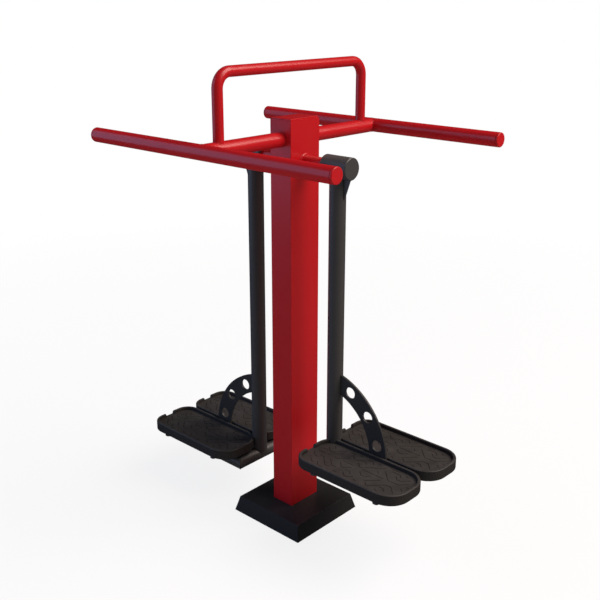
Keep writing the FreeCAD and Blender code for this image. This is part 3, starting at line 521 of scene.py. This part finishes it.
def groove_tree():
    """Cutters along the groove lines: rounded bends and a section that narrows downwards."""
    tree, given, result = geometry_tree("tread_groove_cutters", [("Width", 1.7 * MM, "DISTANCE"),
                                                                 ("Depth", 1.1 * MM, "DISTANCE"),
                                                                 ("Bend", 5.0 * MM, "DISTANCE")])
    lines = add_node(tree, "GeometryNodeMeshToCurve")
    bends = add_node(tree, "GeometryNodeFilletCurve", {"Count": 4, "Limit Radius": True}, mode="POLY")
    upright = add_node(tree, "GeometryNodeSetCurveNormal", mode="Z_UP")
    section = add_node(tree, "GeometryNodeCurvePrimitiveQuadrilateral", {"Offset": 0.0}, mode="TRAPEZOID")
    sweep = add_node(tree, "GeometryNodeCurveToMesh", {"Fill Caps": True})
    tree.links.new(given.outputs["Geometry"], lines.inputs["Mesh"])
    tree.links.new(lines.outputs["Curve"], bends.inputs["Curve"])
    tree.links.new(given.outputs["Bend"], bends.inputs["Radius"])
    tree.links.new(bends.outputs["Curve"], upright.inputs["Curve"])
    tree.links.new(upright.outputs["Curve"], sweep.inputs["Curve"])
    tree.links.new(arithmetic(tree, "MULTIPLY", given.outputs["Depth"], 2.0), section.inputs["Height"])
    tree.links.new(arithmetic(tree, "MULTIPLY", given.outputs["Width"], 1.4), section.inputs["Bottom Width"])
    tree.links.new(arithmetic(tree, "MULTIPLY", given.outputs["Width"], 0.6), section.inputs["Top Width"])
    tree.links.new(section.outputs["Curve"], sweep.inputs["Profile Curve"])
    end_tree(tree, given, result, sweep.outputs["Mesh"])
    return tree


def bead_tree():
    """Rippled weld bead along each line of the mesh."""
    tree, given, result = geometry_tree("weld_beads", [("Radius", 1.1 * MM, "DISTANCE"),
                                                       ("Pitch", 2.4 * MM, "DISTANCE"),
                                                       ("Ripple", 0.12, "FACTOR")])
    lines = add_node(tree, "GeometryNodeMeshToCurve")
    even = add_node(tree, "GeometryNodeResampleCurve", mode="LENGTH")
    along = add_node(tree, "GeometryNodeSplineParameter")
    section = add_node(tree, "GeometryNodeCurvePrimitiveCircle", {"Resolution": 8})
    sweep = add_node(tree, "GeometryNodeCurveToMesh", {"Fill Caps": True})
    smooth = add_node(tree, "GeometryNodeSetShadeSmooth")
    drift = add_node(tree, "ShaderNodeTexNoise", {"Scale": 260.0, "Detail": 1.0})
    tree.links.new(given.outputs["Geometry"], lines.inputs["Mesh"])
    tree.links.new(lines.outputs["Curve"], even.inputs["Curve"])
    tree.links.new(arithmetic(tree, "MULTIPLY", given.outputs["Pitch"], RIPPLE_STEP), even.inputs["Length"])
    tree.links.new(even.outputs["Curve"], sweep.inputs["Curve"])
    turns = arithmetic(tree, "DIVIDE", along.outputs["Length"], given.outputs["Pitch"])
    wave = arithmetic(tree, "SINE", arithmetic(tree, "MULTIPLY", turns, 2 * math.pi), 0.0)
    uneven = arithmetic(tree, "SUBTRACT", drift.outputs["Fac"], 0.5)
    swell = arithmetic(tree, "MULTIPLY", arithmetic(tree, "ADD", wave, uneven), given.outputs["Ripple"])
    tree.links.new(arithmetic(tree, "ADD", swell, 1.0), sweep.inputs["Scale"])
    tree.links.new(given.outputs["Radius"], section.inputs["Radius"])
    tree.links.new(section.outputs["Curve"], sweep.inputs["Profile Curve"])
    tree.links.new(sweep.outputs["Mesh"], smooth.inputs["Geometry"])
    end_tree(tree, given, result, smooth.outputs["Geometry"])
    return tree


def add_tree(obj, tree, values):
    """Geometry Nodes modifier with its inputs set by identifier."""
    modifier = obj.modifiers.new(tree.name, "NODES")
    modifier.node_group = tree
    for item in tree.interface.items_tree:
        if item.item_type == "SOCKET" and item.in_out == "INPUT" and item.name in values:
            modifier[item.identifier] = values[item.name]
    return modifier


def baked(obj):
    """The object's evaluated shape as a plain mesh; its modifiers are removed."""
    graph = bpy.context.evaluated_depsgraph_get()
    mesh = bpy.data.meshes.new_from_object(obj.evaluated_get(graph), preserve_all_data_layers=True,
                                           depsgraph=graph)
    obj.modifiers.clear()
    old = obj.data
    mesh.name = obj.name
    obj.data = mesh
    bpy.data.meshes.remove(old)
    if not mesh.polygons:
        raise RuntimeError(obj.name + " came out empty")
    return mesh


def line_object(name, lines):
    """Object whose mesh is open or closed lines; each is (points in metres, closed)."""
    verts, edges = [], []
    for points, closed in lines:
        start, count = len(verts), len(points)
        verts += points
        edges += [(start + i, start + i + 1) for i in range(count - 1)]
        if closed:
            edges.append((start + count - 1, start))
    mesh = bpy.data.meshes.new(name)
    mesh.from_pydata(verts, edges, [])
    obj = bpy.data.objects.new(name, mesh)
    bpy.context.scene.collection.objects.link(obj)
    return obj


def merged_copy(node, name):
    """Object with the node's shape in one welded mesh, so that it can be cut."""
    mesh = bpy.data.meshes.new(name)
    work = bmesh.new()
    work.from_mesh(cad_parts[node].data)
    bmesh.ops.remove_doubles(work, verts=work.verts, dist=0.01 * MM)
    work.to_mesh(mesh)
    work.free()
    for layer in [a.name for a in mesh.attributes if a.name in ("custom_normal", "sharp_edge", "sharp_face")]:
        mesh.attributes.remove(mesh.attributes[layer])
    obj = bpy.data.objects.new(name, mesh)
    bpy.context.scene.collection.objects.link(obj)
    return obj


def smooth_shaded(mesh):
    """Smooth shading with the real corners kept sharp."""
    mesh.shade_smooth()
    mesh.set_sharp_from_angle(angle=math.radians(SMOOTH_UP_TO))


def groove_cutter(node, tree, settings, material):
    """Cutters for one foot plate, standing across its tray's floor."""
    low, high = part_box(node)
    floor = high.z - TRAY_DEEP * MM
    lines = [([Vector((low.x + u * MM, low.y + v * MM, floor)) for u, v in groove], False)
             for groove in TREAD_GROOVES]
    cutter = line_object("groove_cutter", lines)
    add_tree(cutter, tree, {"Width": settings.width, "Depth": settings.depth, "Bend": settings.bend,
                            "Material": material})
    baked(cutter)
    return cutter


def tread_plate(side, row, tree, settings):
    """One foot plate with its tread grooves cut into the tray's floor."""
    node = "foot_plate_%s_%s" % (row, side)
    plate = merged_copy(node, "tread_plate_%s_%s" % (row, side))
    plate.data.materials.clear()
    plate.data.materials.append(bpy.data.materials["foot_plate_moulding"])
    # The grooves' material is darker: dirt and painted shade in the recesses
    cutter = groove_cutter(node, tree, settings, bpy.data.materials["tread_groove_moulding"])
    cut = plate.modifiers.new("grooves", "BOOLEAN")
    cut.operation = "DIFFERENCE"
    cut.solver = "MANIFOLD"
    cut.material_mode = "TRANSFER"
    cut.object = cutter
    smooth_shaded(baked(plate))
    even = plate.modifiers.new("even_normals", "WEIGHTED_NORMAL")
    even.keep_sharp = True
    baked(plate)
    bpy.data.meshes.remove(cutter.data)
    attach(plate, side + "_pendulum")
    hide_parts(node)
    return plate


class TRAINER_OT_treads(bpy.types.Operator):
    """Cut the tread grooves into the four foot plates"""
    bl_idname = "trainer.treads"
    bl_label = "Treads"

    def execute(self, context):
        tree = groove_tree()
        for side, _ in SIDES:
            for row in ROWS:
                tread_plate(side, row, tree, context.scene.trainer_tread)
        return {"FINISHED"}


def metres(points):
    """Points in millimetres as vectors in metres."""
    return [Vector(p) * MM for p in points]


def round_trip(place, steps=BEAD_STEPS):
    """Closed line whose point at each angle is given in millimetres by the function."""
    return metres([place(2 * math.pi * i / steps) for i in range(steps)]), True


def frame_welds():
    """Lines of the welds on the post, the bars, the hoop and the axle's root rings."""
    lines = []
    for end in (-1, 1):
        lines.append(round_trip(lambda t: (BAR_R * math.cos(t), end * POST_FACE_Y, BAR_Z + BAR_R * math.sin(t))))
        lines.append(round_trip(lambda t: (BAR_R * math.cos(t), end * (BAR_Y - BAR_R * abs(math.cos(t))),
                                           BAR_Z + BAR_R * math.sin(t))))
        lines.append(round_trip(lambda t: (HOOP_R * math.cos(t), end * HOOP_Y + HOOP_R * math.sin(t),
                                           BAR_Z + math.sqrt(BAR_R ** 2 - (HOOP_R * math.cos(t)) ** 2))))
        lines.append(round_trip(lambda t: (end * POST_FACE_X, ROOT_RING_R * math.cos(t),
                                           AXLE_Z + ROOT_RING_R * math.sin(t))))
    return lines


def leg_welds(end, carrier_z):
    """Lines round both ends of a leg: at the housing and at the carrier tube."""
    def at_housing(t):
        y = LEG_R * math.sin(t)
        return end * LEG_X + LEG_R * math.cos(t), y, AXLE_Z - math.sqrt(HOUSING_R ** 2 - y ** 2)

    def at_carrier(t):
        x = LEG_R * math.cos(t)
        high = max(BAR_R ** 2 - x ** 2, (BAR_R - LEG_COPE) ** 2)
        return end * LEG_X + x, LEG_R * math.sin(t), carrier_z + math.sqrt(high)

    return [round_trip(at_housing), round_trip(at_carrier)]


def web_welds(end, top, carrier_z):
    """Straight lines along both faces of the rib and of the gusset."""
    lines = []
    for face in (-1, 1):
        y = face * RIB_HALF
        leg_side = LEG_X + math.sqrt(LEG_R ** 2 - y ** 2)
        under = AXLE_Z - math.sqrt(HOUSING_R ** 2 - y ** 2)
        lines.append([(end * leg_side, y, AXLE_Z - HOUSING_R - RIB_DROP), (end * leg_side, y, under)])
        lines.append([(end * leg_side, y, under), (end * (LEG_X + LEG_R + RIB_REACH), y, under)])
        y = face * GUSSET_HALF
        leg_side = LEG_X + math.sqrt(LEG_R ** 2 - y ** 2)
        rises = [math.sqrt(r ** 2 - (leg_side - GUSSET_X) ** 2) for r in (GUSSET_IN_R, GUSSET_OUT_R)]
        lines.append([(end * leg_side, y, top - GUSSET_BELOW_TOP + rise) for rise in rises])
        lines.append([(end * (GUSSET_X + r), y, carrier_z + SEAT_ABOVE_CARRIER)
                      for r in (GUSSET_IN_R, GUSSET_OUT_R)])
    return [(metres(points), False) for points in lines]


def station_welds(end, top):
    """All weld lines of one pendulum, whose foot plates' tops are at the given height."""
    carrier_z = top - CARRIER_BELOW_TOP
    mitres = []
    for row in (-1, 1):
        mitres.append(round_trip(lambda t: (end * (LEG_X - BAR_R * math.cos(t)),
                                            row * (RAIL_Y + BAR_R * math.cos(t)),
                                            carrier_z + BAR_R * math.sin(t))))
    return leg_welds(end, carrier_z) + web_welds(end, top, carrier_z) + mitres


class TRAINER_OT_welds(bpy.types.Operator):
    """Lay the weld beads on the frame and on both pendulums"""
    bl_idname = "trainer.welds"
    bl_label = "Welds"

    def execute(self, context):
        settings = context.scene.trainer_weld
        tree = bead_tree()
        jobs = [("weld_beads_frame", "frame", "red_powder_coat", frame_welds())]
        for side, end in SIDES:
            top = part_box("foot_plate_front_" + side)[1].z / MM
            jobs.append(("weld_beads_" + side, side + "_pendulum", "black_powder_coat", station_welds(end, top)))
        for name, body, slot, lines in jobs:
            beads = line_object(name, lines)
            add_tree(beads, tree, {"Radius": settings.radius, "Pitch": settings.pitch, "Ripple": settings.ripple,
                                   "Material": bpy.data.materials[slot]})
            baked(beads)
            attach(beads, body)
        return {"FINISHED"}


def softbox(name, power, azimuth, rise, distance, size, colour):
    """Softbox aimed at the middle of the trainer, its azimuth turned from +X towards +Y."""
    lamp = bpy.data.lights.new(name, "AREA")
    lamp.shape = "RECTANGLE"
    lamp.size, lamp.size_y = size
    lamp.energy = power
    lamp.color = colour
    turn, lift = math.radians(azimuth), math.radians(rise)
    away = Vector((math.cos(turn) * math.cos(lift), math.sin(turn) * math.cos(lift), math.sin(lift)))
    obj = bpy.data.objects.new(name, lamp)
    obj.location = Vector((0.0, 0.0, AIM_HEIGHT)) + away * distance
    obj.rotation_euler = (-away).to_track_quat("-Z", "Y").to_euler()
    bpy.context.scene.collection.objects.link(obj)


class TRAINER_OT_stage(bpy.types.Operator):
    """Add the floor, the lamps and the camera"""
    bl_idname = "trainer.stage"
    bl_label = "Stage"

    def execute(self, context):
        studio = context.scene.trainer_studio
        add_floor()
        add_world(studio.ambient)
        softbox("key_softbox", studio.key, *KEY_LAMP)
        softbox("fill_softbox", studio.fill, *FILL_LAMP)
        add_camera()
        return {"FINISHED"}


def add_camera():
    """Camera at the photo's place and angle."""
    camera = bpy.data.cameras.new("photo_camera")
    camera.sensor_width = 36.0
    camera.lens = CAMERA_LENS
    camera.shift_x, camera.shift_y = CAMERA_SHIFT
    camera.clip_end = 200.0
    obj = bpy.data.objects.new("photo_camera", camera)
    obj.location = CAMERA_PLACE
    obj.rotation_euler = Vector(CAMERA_VIEW).to_track_quat("-Z", "Y").to_euler()
    bpy.context.scene.collection.objects.link(obj)
    bpy.context.scene.camera = obj


def by_ray(tree, ray, otherwise, then):
    """Value that is one number for rays of the named kind and another for all others."""
    path = add_node(tree, "ShaderNodeLightPath")
    choice = add_node(tree, "ShaderNodeMapRange", {"To Min": otherwise})
    tree.links.new(path.outputs[ray], choice.inputs["Value"])
    if isinstance(then, (int, float)):
        choice.inputs["To Max"].default_value = then
    else:
        tree.links.new(then, choice.inputs["To Max"])
    return choice.outputs[0]


def by_distance(tree, start, stop, near, far):
    """Value that goes from near to far over the distance from the post."""
    length = add_node(tree, "ShaderNodeVectorMath", operation="LENGTH")
    fade = add_node(tree, "ShaderNodeMapRange", {"From Min": start, "From Max": stop, "To Min": near,
                                                 "To Max": far})
    tree.links.new(add_node(tree, "ShaderNodeTexCoord").outputs["Object"], length.inputs[0])
    tree.links.new(length.outputs["Value"], fade.inputs["Value"])
    return fade.outputs[0]


def seen_rays(tree):
    """1 for camera, glossy and transmission rays, which see the pale background itself."""
    path = add_node(tree, "ShaderNodeLightPath")
    first = arithmetic(tree, "MAXIMUM", path.outputs["Is Camera Ray"], path.outputs["Is Glossy Ray"])
    return arithmetic(tree, "MAXIMUM", first, path.outputs["Is Transmission Ray"])


def mixed_shaders(tree, share, lower, upper, out):
    """Two shaders mixed by the share into the output."""
    mix = add_node(tree, "ShaderNodeMixShader")
    tree.links.new(share, mix.inputs[0])
    tree.links.new(lower, mix.inputs[1])
    tree.links.new(upper, mix.inputs[2])
    tree.links.new(mix.outputs[0], out.inputs[0])


def add_world(ambient):
    """Even light on the trainer; the camera sees white, and a coat mirrors next to nothing."""
    world = bpy.data.worlds.new("studio_world")
    bpy.context.scene.world = world
    world.use_nodes = True
    tree = world.node_tree
    tree.nodes.clear()
    light = add_node(tree, "ShaderNodeBackground", {"Color": SKY_TINT, "Strength": ambient})
    seen = add_node(tree, "ShaderNodeBackground", {"Color": WHITE})
    tree.links.new(by_ray(tree, "Is Glossy Ray", 1.0, MIRRORED_PALE), seen.inputs["Strength"])
    mixed_shaders(tree, seen_rays(tree), light.outputs[0], seen.outputs[0],
                  add_node(tree, "ShaderNodeOutputWorld"))


def floor_finish():
    """Pale floor that takes the shadow near the trainer and runs out to white."""
    material = bpy.data.materials.new("pale_floor")
    material.use_nodes = True
    tree = material.node_tree
    tree.nodes.clear()
    matt = add_node(tree, "ShaderNodeBsdfDiffuse")
    tree.links.new(by_ray(tree, "Is Camera Ray", FLOOR_BOUNCE, FLOOR_SEEN), matt.inputs["Color"])
    glow = add_node(tree, "ShaderNodeEmission", {"Color": WHITE})
    mirrored = by_distance(tree, MIRROR_NEAR, MIRROR_FAR, MIRRORED_FLOOR, MIRRORED_PALE)
    tree.links.new(by_ray(tree, "Is Glossy Ray", 1.0, mirrored), glow.inputs["Strength"])
    spread = by_distance(tree, GLOW_FROM, GLOW_TO, GLOW_NEAR, GLOW_FAR)
    share = arithmetic(tree, "MULTIPLY", spread, seen_rays(tree))
    glossy = add_node(tree, "ShaderNodeLightPath").outputs["Is Glossy Ray"]
    mixed_shaders(tree, arithmetic(tree, "MAXIMUM", share, glossy), matt.outputs[0], glow.outputs[0],
                  add_node(tree, "ShaderNodeOutputMaterial"))
    return material


def add_floor():
    """Wide flat floor under the trainer."""
    mesh = bpy.data.meshes.new("floor")
    corners = [(x * FLOOR_HALF, y * FLOOR_HALF, 0) for x, y in ((-1, -1), (1, -1), (1, 1), (-1, 1))]
    mesh.from_pydata(corners, [], [(0, 1, 2, 3)])
    mesh.materials.append(floor_finish())
    floor = bpy.data.objects.new("floor", mesh)
    bpy.context.scene.collection.objects.link(floor)


class TRAINER_PT_panel(bpy.types.Panel):
    """The trainer's steps in the sidebar"""
    bl_idname = "TRAINER_PT_panel"
    bl_label = "Trainer"
    bl_space_type = "VIEW_3D"
    bl_region_type = "UI"
    bl_category = "Trainer"

    def draw(self, context):
        for step in STEPS:
            self.layout.operator(step.bl_idname)


STEPS = (TRAINER_OT_coats, TRAINER_OT_treads, TRAINER_OT_welds, TRAINER_OT_stage)
SETTINGS = (("trainer_coat", CoatSettings), ("trainer_tread", TreadSettings), ("trainer_weld", WeldSettings),
            ("trainer_studio", StudioSettings))


def register():
    """Register the settings, the steps and the panel."""
    for name, group in SETTINGS:
        bpy.utils.register_class(group)
        setattr(bpy.types.Scene, name, bpy.props.PointerProperty(type=group))
    for step in STEPS:
        bpy.utils.register_class(step)
    bpy.utils.register_class(TRAINER_PT_panel)


def unregister():
    """Take the panel, the steps and the settings away again."""
    bpy.utils.unregister_class(TRAINER_PT_panel)
    for step in reversed(STEPS):
        bpy.utils.unregister_class(step)
    for name, group in reversed(SETTINGS):
        delattr(bpy.types.Scene, name)
        bpy.utils.unregister_class(group)


def main():
    """Run every step in order."""
    register()
    bpy.context.scene.view_settings.view_transform = "Standard"
    bpy.ops.trainer.coats()
    bpy.ops.trainer.treads()
    bpy.ops.trainer.welds()
    bpy.ops.trainer.stage()


if __name__ == "__main__":
    main()
